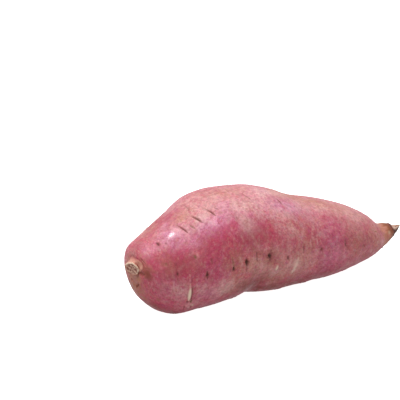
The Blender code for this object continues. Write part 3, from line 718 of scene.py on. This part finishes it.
def tint_stub(tints, station, angle, edge):
    """Lay the cut wood of the stub and its pale rim, its salmon neck, and painted shade in brown in the
    folds beside it.
    """
    upper = ease(np.cos(angle - math.radians(40.0)) + 0.50)
    tints["stub"] = ease((STUB_RADIUS - 0.4 + 0.8 * upper - station) / 0.3)
    across = station * np.sin(angle - math.radians(STUB_LONG_WAY))
    tints["streak"] = 0.5 + 0.4 * np.sin(3.0 * across + 6.0 * edge) + 0.6 * edge
    tints["rim"] = bell((station - STUB_RADIUS + 0.1) / 0.38) * (1.0 + edge) * (0.15 + 0.85 * upper)
    neck = ease((stub_foot(angle) - station + 0.2) / 1.2)
    tints["salmon"] = 0.85 * neck * ease(np.cos(angle - 0.9) + 0.6)
    # Painted shade: brown in the fold round the neck's foot, darkest at its tip, and in the groove beside
    # the cut face.
    tip = bell(turn_between(angle, math.radians(STUB_FOOT_ANGLE)) / math.radians(20.0))
    lay(tints, "brown", (0.15 + 0.40 * tip) * neck_crease(station, angle))
    lay(tints, "deep", bell((station - stub_foot(angle) - 1.2) / 1.6) * upper)
    groove_shade = bell((station - STUB_RADIUS - 1.6) / 1.2)
    groove_shade = groove_shade * ease(1.5 * np.cos(angle - math.radians(85.0)) - 0.3)
    lay(tints, "brown", 0.9 * groove_shade)
    lay(tints, "tan", 0.8 * bell((station - 5.0) / 2.0))


def tint_values(station, angle):
    """Return each tint's strength over the skin: patches, marks, the body and its two ends."""
    tints = {name: np.zeros_like(station + angle) for name in TINTS}
    edge = 0.45 * grown_noise(station, angle, 4.5, 4.5, 51)
    edge += 0.3 * grown_noise(station, angle, 1.8, 1.8, 52)
    tint_patches(tints, station, angle, edge)
    tint_marks(tints, station, angle)
    tint_body(tints, station, angle, edge)
    tint_tail(tints, station, angle, edge)
    tint_stub(tints, station, angle, edge)
    return tints


def grown_coordinates(station, angle):
    """Return coordinates that follow the skin: its station, and its turn as a circle's two sides."""
    radius = girth_radius(station)
    return np.stack([station + 0.0 * angle, radius * np.sin(angle), radius * np.cos(angle)], axis=-1)


def add_object(name, data):
    """Return a new object of the scene that holds the data."""
    thing = bpy.data.objects.new(name, data)
    bpy.context.scene.collection.objects.link(thing)
    return thing


def mesh_piece(name, points, faces):
    """Put points in metres and faces into a new smooth mesh object."""
    mesh = bpy.data.meshes.new(name)
    mesh.from_pydata(points.tolist(), [], faces)
    mesh.update()
    mesh.shade_smooth()
    return add_object(name, mesh)


def grid_faces(rows, columns):
    """Return the faces of a closed tube of rings, then a fan at each end round one more point."""
    beside = np.roll(np.arange(columns), -1)
    column = np.arange(columns)
    low = (np.arange(rows - 1) * columns)[:, None]
    high = low + columns
    quads = np.stack([low + column, high + column, high + beside, low + beside], axis=-1).reshape(-1, 4)
    last = (rows - 1) * columns
    first_fan = np.stack([np.full(columns, rows * columns), column, beside], axis=-1)
    last_fan = np.stack([np.full(columns, rows * columns + 1), last + beside, last + column], axis=-1)
    return quads.tolist() + first_fan.tolist() + last_fan.tolist()


def make_skin():
    """Build the skin on its grid, with its tints and grown coordinates, and return its shift."""
    stations = row_stations()[1:-1]
    angles = np.linspace(0.0, 2 * math.pi, COLUMNS, endpoint=False)
    station, angle = np.meshgrid(stations, angles, indexing="ij")
    station = np.concatenate([station.ravel(), [0.0, LENGTH]])
    angle = np.concatenate([angle.ravel(), [0.0, 0.0]])
    points = skin_points(station, angle)
    shift = frame_shift(points)
    piece = mesh_piece("potato_skin", (points + shift) * MM, grid_faces(len(stations), COLUMNS))
    for name, values in tint_values(station, angle).items():
        layer = piece.data.attributes.new(name, "FLOAT", "POINT")
        layer.data.foreach_set("value", np.clip(values, 0.0, 1.0).astype(np.float32))
    layer = piece.data.attributes.new("grown", "FLOAT_VECTOR", "POINT")
    layer.data.foreach_set("vector", grown_coordinates(station, angle).ravel().astype(np.float32))
    return piece, shift


def tube(path, radii, sides):
    """Return the points and faces of a closed tube along a path, with a fan at each end."""
    run = unit(np.gradient(path, axis=0))
    spare = np.where(np.abs(run[:1, 2:]) < 0.9, [[0.0, 0.0, 1.0]], [[1.0, 0.0, 0.0]])
    first = unit(np.cross(run, spare))
    second = np.cross(run, first)
    turn = np.linspace(0.0, 2 * math.pi, sides, endpoint=False)[None, :, None]
    rings = first[:, None] * np.cos(turn) + second[:, None] * np.sin(turn)
    rings = path[:, None] + rings * radii[:, None, None]
    points = np.concatenate([rings.reshape(-1, 3), path[:1], path[-1:]])
    return points, grid_faces(len(path), sides)


def rootlet_path(station, angle, length, lean, droop):
    """Return a rootlet's middle line: it leaves the skin outwards, leans along it and droops."""
    place, turn = np.array(float(station)), np.array(math.radians(angle))
    foot = skin_points(place, turn)
    rise = unit(outward(place, turn) + np.array([lean, 0.0, 0.0]))
    t = np.linspace(-0.25, 1.0, ROOTLET_STEPS)[:, None]
    bend = np.array([0.25 * lean, 0.0, -droop]) * length
    return foot + rise * length * t + bend * np.clip(t, 0.0, 1.0) ** 2


def make_rootlets(shift):
    """Build the dried rootlets and finer hairs as one piece: a thin tapered tube for each."""
    rng = np.random.default_rng(HAIR_SEED)
    hairs = [(*rootlet, ROOTLET_THICKNESS) for rootlet in ROOTLETS]
    for _ in range(HAIRS):
        station = rng.uniform(70.0, 188.0)
        angle = rng.uniform(150.0, 350.0)
        hairs.append((station, angle, rng.uniform(0.8, 1.9), rng.uniform(0.2, 1.0), HAIR_THICKNESS))
    all_points, all_faces, offset = [], [], 0
    for station, angle, length, lean, thickness in hairs:
        path = rootlet_path(station, angle, length, lean, rng.uniform(0.0, 0.15))
        t = np.linspace(0.0, 1.0, len(path))
        radii = thickness * (1.0 - 0.75 * t) * (1.0 + 0.12 * np.sin(9.0 * t + station))
        points, faces = tube(path, radii, ROOTLET_SIDES)
        all_points.append(points)
        all_faces += [tuple(corner + offset for corner in face) for face in faces]
        offset += len(points)
    points = np.concatenate(all_points)
    points[:, 2] = np.maximum(points[:, 2], 0.0)
    return mesh_piece("rootlets", (points + shift) * MM, all_faces)


def paint(red, green, blue):
    """Return a screen colour of 0 to 255 as the linear colour that a shader takes."""
    share = np.array((red, green, blue)) / 255.0
    linear = np.where(share <= 0.04045, share / 12.92, ((share + 0.055) / 1.055) ** 2.4)
    return (*linear.tolist(), 1.0)


def add_node(tree, kind, settings=None, sockets=None):
    """Add a node, set its properties, and set or link its sockets."""
    node = tree.nodes.new(kind)
    for name, value in (settings or {}).items():
        setattr(node, name, value)
    for name, value in (sockets or {}).items():
        if isinstance(value, bpy.types.NodeSocket):
            tree.links.new(value, node.inputs[name])
        else:
            node.inputs[name].default_value = value
    return node


def attribute(tree, name):
    """Return the socket of one of the skin's own attributes."""
    node = add_node(tree, "ShaderNodeAttribute", {"attribute_name": name})
    return node.outputs["Vector" if name == "grown" else "Fac"]


def stretched(tree, coordinates, scale=(1.0, 1.0, 1.0), moved=0.0):
    """Return coordinates scaled along each axis, so a pattern on them is drawn out, and moved on."""
    sockets = {"Vector": coordinates, "Scale": scale, "Location": (moved, 2 * moved, moved)}
    node = add_node(tree, "ShaderNodeMapping", None, sockets)
    return node.outputs["Vector"]


def noise(tree, coordinates, scale, detail=3.0, roughness=0.55, distortion=0.0):
    """Return a noise of about 0.3 to 0.7."""
    sockets = {"Vector": coordinates, "Scale": scale, "Detail": detail, "Roughness": roughness,
               "Distortion": distortion}
    return add_node(tree, "ShaderNodeTexNoise", None, sockets).outputs["Fac"]


def between(tree, value, low, high, floor=0.0, ceiling=1.0):
    """Return a value mapped smoothly, from low and high to floor and ceiling."""
    sockets = {"Value": value, "From Min": low, "From Max": high, "To Min": floor, "To Max": ceiling}
    node = add_node(tree, "ShaderNodeMapRange", {"interpolation_type": "SMOOTHSTEP"}, sockets)
    return node.outputs["Result"]


def maths(tree, operation, first, second):
    """Return the result of one sum on two values."""
    return add_node(tree, "ShaderNodeMath", {"operation": operation}, {0: first, 1: second}).outputs[0]


def tinted(tree, share, under, over, blend="MIX"):
    """Return one colour laid over another by a share from 0 to 1."""
    settings = {"data_type": "RGBA", "blend_type": blend}
    return add_node(tree, "ShaderNodeMix", settings, {0: share, 6: under, 7: over}).outputs[2]


def bump(tree, height, strength, distance, under=None):
    """Return a bumped normal from a height."""
    sockets = {"Height": height, "Strength": strength, "Distance": distance}
    if under is not None:
        sockets["Normal"] = under
    return add_node(tree, "ShaderNodeBump", None, sockets).outputs["Normal"]


def new_material(name, settings):
    """Return a new material, its tree and its shader, with the shader's plain settings made."""
    material = bpy.data.materials.new(name)
    material.use_nodes = True
    shader = material.node_tree.nodes["Principled BSDF"]
    for socket, value in settings.items():
        shader.inputs[socket].default_value = value
    return material, material.node_tree, shader


CRIMSON = paint(188, 68, 86)
PINK = paint(208, 112, 130)
DEEP = paint(176, 38, 80)
ROSE_PAINTED_LIGHT = paint(226, 96, 118)
MAUVE = paint(190, 88, 132)
LILAC_AND_GLOW = paint(228, 164, 192)
RUST = paint(134, 70, 22)
TAN = paint(190, 124, 104)
PALE = paint(234, 192, 184)
DUST_AND_SHEEN = paint(224, 164, 170)
SALMON = paint(220, 158, 138)
CORK = paint(190, 122, 92)
# Brown is the colour of stains and dry skin, and also of painted shade: under the belly, in the folds by
# the stub and under its neck.
BROWN = paint(128, 54, 36)
OLIVE = paint(120, 92, 56)
CREAM = paint(248, 226, 196)
DARK = paint(74, 34, 24)
WOOD_DARK = paint(84, 62, 48)
WOOD_PALE = paint(246, 232, 218)
STUB_GREY = paint(226, 184, 162)
STUB_DARK = paint(150, 92, 82)
STUB_PALE = paint(250, 222, 194)


def washed(tree, base, washes):
    """Return a colour with washes over it: each a pattern, its two limits, a share and a colour."""
    for pattern, low, high, share, colour in washes:
        base = tinted(tree, between(tree, pattern, low, high, 0.0, share), base, colour)
    return base


def mottled_pink(tree, grown):
    """Return the bare skin's colour: crimson and pink in clouds, with tan bands round the root."""
    broad = noise(tree, grown, 0.045, 3.0, 0.6, 0.6)
    middle = noise(tree, stretched(tree, grown, (1.0, 0.7, 0.7)), 0.16, 4.0, 0.6, 0.4)
    bands = noise(tree, stretched(tree, grown, (1.0, 0.2, 0.2)), 0.40, 3.0, 0.6, 0.3)
    base = tinted(tree, between(tree, broad, 0.36, 0.64), CRIMSON, PINK)
    return washed(tree, base, ((middle, 0.50, 0.72, 0.50, PINK), (middle, 0.46, 0.28, 0.55, DEEP),
                               (bands, 0.52, 0.70, 0.35, TAN)))


def patched(tree, grown, base):
    """Return a colour with the skin's broad tints laid over it, each with a ragged strength."""
    ragged = between(tree, noise(tree, grown, 0.7, 3.0, 0.65), 0.30, 0.70, 0.50, 1.35)
    # Of these layers, the crown's pale bloom is partly dust and partly painted sheen, the pink of the near
    # side low down is painted light, and the violet holds a painted glow round the bright spot.
    layers = (("dust_and_sheen", DUST_AND_SHEEN, 0.60), ("rose_painted_light", ROSE_PAINTED_LIGHT, 0.80), ("deep", DEEP, 0.80), ("mauve", MAUVE, 0.80),
              ("lilac_and_glow", LILAC_AND_GLOW, 0.85), ("tan", TAN, 0.85), ("pale", PALE, 0.76))
    for name, colour, share in layers:
        strength = maths(tree, "MULTIPLY", maths(tree, "MULTIPLY", attribute(tree, name), ragged), share)
        base = tinted(tree, strength, base, colour)
    return base


def flecked(tree, grown, flecks, base):
    """Return a colour with the skin's blotches, flecks, scuffs, cords and speckle over it."""
    blotches = noise(tree, stretched(tree, grown, (1.0, 0.8, 0.8), 40.0), 0.26, 5.0, 0.75, 0.3)
    base = washed(tree, base, ((blotches, 0.52, 0.66, 0.28, PALE), (blotches, 0.50, 0.36, 0.42, DEEP),
                               (flecks, 0.52, 0.66, 0.42, TAN), (flecks, 0.48, 0.34, 0.42, MAUVE)))
    shade = noise(tree, stretched(tree, grown, moved=30.0), 0.60, 5.0, 0.78, 0.2)
    base = tinted(tree, 1.0, base, between(tree, shade, 0.36, 0.64, 0.80, 1.16), "MULTIPLY")
    scuffs = noise(tree, stretched(tree, grown, (1.0, 0.40, 0.40)), 0.50, 3.0, 0.6, 0.5)
    where = noise(tree, stretched(tree, grown, moved=90.0), 0.06, 2.0)
    patchy = between(tree, where, 0.46, 0.60, 0.0, 0.32)
    scuffed = maths(tree, "MULTIPLY", between(tree, scuffs, 0.54, 0.70), patchy)
    base = tinted(tree, scuffed, base, PALE)
    cords = noise(tree, stretched(tree, grown, (0.16, 1.0, 1.0)), 0.6, 3.0, 0.6, 0.3)
    speckle = noise(tree, grown, 1.1, 3.0, 0.75)
    base = washed(tree, base, ((cords, 0.56, 0.70, 0.25, DUST_AND_SHEEN), (speckle, 0.55, 0.70, 0.28, PALE),
                               (speckle, 0.45, 0.30, 0.38, DEEP)))
    return tinted(tree, maths(tree, "MULTIPLY", attribute(tree, "deep"), 0.36), base, DEEP)


def skin_colour(tree):
    """Return the skin's colour: its mottling, then wood, cork, the marks' tints and the stub."""
    grown = attribute(tree, "grown")
    flecks = noise(tree, stretched(tree, grown, moved=70.0), 0.42, 4.0, 0.75, 0.2)
    base = flecked(tree, grown, flecks, patched(tree, grown, mottled_pink(tree, grown)))
    fibres = noise(tree, stretched(tree, grown, (0.4, 2.0, 2.0)), 1.2)
    wood = tinted(tree, between(tree, fibres, 0.32, 0.55), WOOD_DARK, WOOD_PALE)
    base = tinted(tree, attribute(tree, "wood"), base, wood)
    corky = maths(tree, "MULTIPLY", attribute(tree, "cork"), between(tree, flecks, 0.40, 0.58, 0.55, 1.0))
    base = tinted(tree, corky, base, CORK)
    marks = (("salmon", SALMON), ("rust", RUST), ("brown", BROWN), ("olive", OLIVE), ("cream", CREAM),
             ("dark", DARK))
    for name, colour in marks:
        base = tinted(tree, attribute(tree, name), base, colour)
    stub = tinted(tree, between(tree, attribute(tree, "streak"), 0.30, 0.80), STUB_DARK, STUB_GREY)
    base = tinted(tree, attribute(tree, "stub"), base, stub)
    return tinted(tree, attribute(tree, "rim"), base, STUB_PALE)


def skin_material():
    """Return the skin: its mottled colour, a slight waxy gloss that varies, and fine grain."""
    settings = {"Specular IOR Level": 0.35, "Coat Weight": 0.10, "Coat Roughness": 0.30}
    material, tree, shader = new_material("skin", settings)
    grown = attribute(tree, "grown")
    tree.links.new(skin_colour(tree), shader.inputs["Base Color"])
    rough = between(tree, noise(tree, grown, 0.35, 3.0), 0.35, 0.65, 0.38, 0.56)
    polished = {0: attribute(tree, "gloss"), 2: rough, 3: SPOT_ROUGHNESS}
    rough = add_node(tree, "ShaderNodeMix", None, polished).outputs[0]
    tree.links.new(rough, shader.inputs["Roughness"])
    taut = between(tree, attribute(tree, "gloss"), 0.0, 1.0, 1.0, 0.15)
    grains = maths(tree, "MULTIPLY", noise(tree, grown, 2.2, 4.0, 0.65), taut)
    round_about = noise(tree, stretched(tree, grown, (1.0, 0.12, 0.12)), 1.6, 2.0)
    creases = maths(tree, "MULTIPLY", round_about, taut)
    grain = bump(tree, grains, 0.35, 0.0003)
    tree.links.new(bump(tree, creases, 0.25, 0.0004, grain), shader.inputs["Normal"])
    return material


def rootlet_material():
    """Return the dried rootlets: brown, darker in streaks, dull."""
    material, tree, shader = new_material("dried_rootlet", {"Roughness": 0.75})
    where = add_node(tree, "ShaderNodeTexCoord").outputs["Object"]
    streaks = noise(tree, where, 900.0, 3.0)
    colour = tinted(tree, between(tree, streaks, 0.35, 0.65), WOOD_DARK, paint(176, 122, 96))
    tree.links.new(colour, shader.inputs["Base Color"])
    tree.links.new(bump(tree, streaks, 0.4, 0.0002), shader.inputs["Normal"])
    return material


def make_floor():
    """Lay the plain pale floor."""
    corners = FLOOR_HALF * np.array([(-1, -1, 0), (1, -1, 0), (1, 1, 0), (-1, 1, 0)])
    floor = mesh_piece("floor", corners, [(0, 1, 2, 3)])
    settings = {"Base Color": (0.92, 0.92, 0.92, 1.0), "Roughness": 0.9, "Specular IOR Level": 0.0,
                "Emission Color": (1.0, 1.0, 1.0, 1.0), "Emission Strength": FLOOR_GLOW}
    floor.data.materials.append(new_material("pale_floor", settings)[0])
    floor.visible_diffuse = False
    floor.visible_glossy = False


def look_rotation(direction):
    """Return the turn that makes an object's -Z look along a direction."""
    return Vector(direction).to_track_quat("-Z", "Y").to_euler()


def camera_place(shift):
    """Return the camera's place and its target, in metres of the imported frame."""
    turn, rise = math.radians(CAMERA_AZIMUTH), math.radians(CAMERA_ELEVATION)
    back = np.array([math.sin(turn) * math.cos(rise), -math.cos(turn) * math.cos(rise), math.sin(rise)])
    target = (CAMERA_TARGET - np.array([0.0, 0.0, SINK]) + shift) * MM
    return target + back * CAMERA_DISTANCE * MM, target


def make_camera(shift):
    """Set the camera at the photo's viewing angle."""
    place, target = camera_place(shift)
    lens = bpy.data.cameras.new("camera")
    lens.lens = CAMERA_LENS
    lens.sensor_width = CAMERA_SENSOR
    lens.sensor_fit = "HORIZONTAL"
    camera = add_object("camera", lens)
    camera.location = place.tolist()
    camera.rotation_euler = look_rotation((target - place).tolist())
    bpy.context.scene.camera = camera


def softbox(name, place, target, size, power):
    """Hang a square soft light that faces a target."""
    light = bpy.data.lights.new(name, "AREA")
    light.shape = "SQUARE"
    light.size = size
    light.energy = power
    lamp = add_object(name, light)
    lamp.location = list(place)
    lamp.rotation_euler = look_rotation((np.array(target) - np.array(place)).tolist())


def white_room():
    """Return a white room that is darker below, so the belly turns into its own shade."""
    world = bpy.data.worlds.new("white_room")
    world.use_nodes = True
    tree = world.node_tree
    way = add_node(tree, "ShaderNodeTexCoord").outputs["Generated"]
    height = add_node(tree, "ShaderNodeSeparateXYZ", None, {"Vector": way}).outputs["Z"]
    strength = between(tree, height, -1.0, -0.60, ROOM_BELOW, ROOM_ABOVE)
    room = tree.nodes["Background"]
    room.inputs["Color"].default_value = (1.0, 1.0, 1.0, 1.0)
    tree.links.new(strength, room.inputs["Strength"])
    return world


def make_lights(shift):
    """Light the root from a white room, a large soft top light and a small key light."""
    bpy.context.scene.world = white_room()
    softbox("top_light", TOP_LIGHT_PLACE, (0.0, 0.0, 0.0), TOP_LIGHT_SIZE, TOP_LIGHT_POWER)
    station, angle = np.array(SPOT_STATION), np.array(math.radians(SPOT_ANGLE))
    spot = (body_point(station, angle) - np.array([0.0, 0.0, SINK]) + shift) * MM
    normal = body_normal(station, angle)
    to_camera = unit(camera_place(shift)[0] - spot)
    mirrored = 2 * normal.dot(to_camera) * normal - to_camera
    softbox("key_light", spot + mirrored * KEY_LIGHT_DISTANCE, spot, KEY_LIGHT_SIZE, KEY_LIGHT_POWER)


skin, SHIFT = make_skin()
skin.data.materials.append(skin_material())
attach(skin, "root")
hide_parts("sweet_potato")

rootlets = make_rootlets(SHIFT)
rootlets.data.materials.append(rootlet_material())
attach(rootlets, "root")

make_floor()
make_camera(SHIFT)
make_lights(SHIFT)
bpy.context.scene.view_settings.view_transform = "Standard"
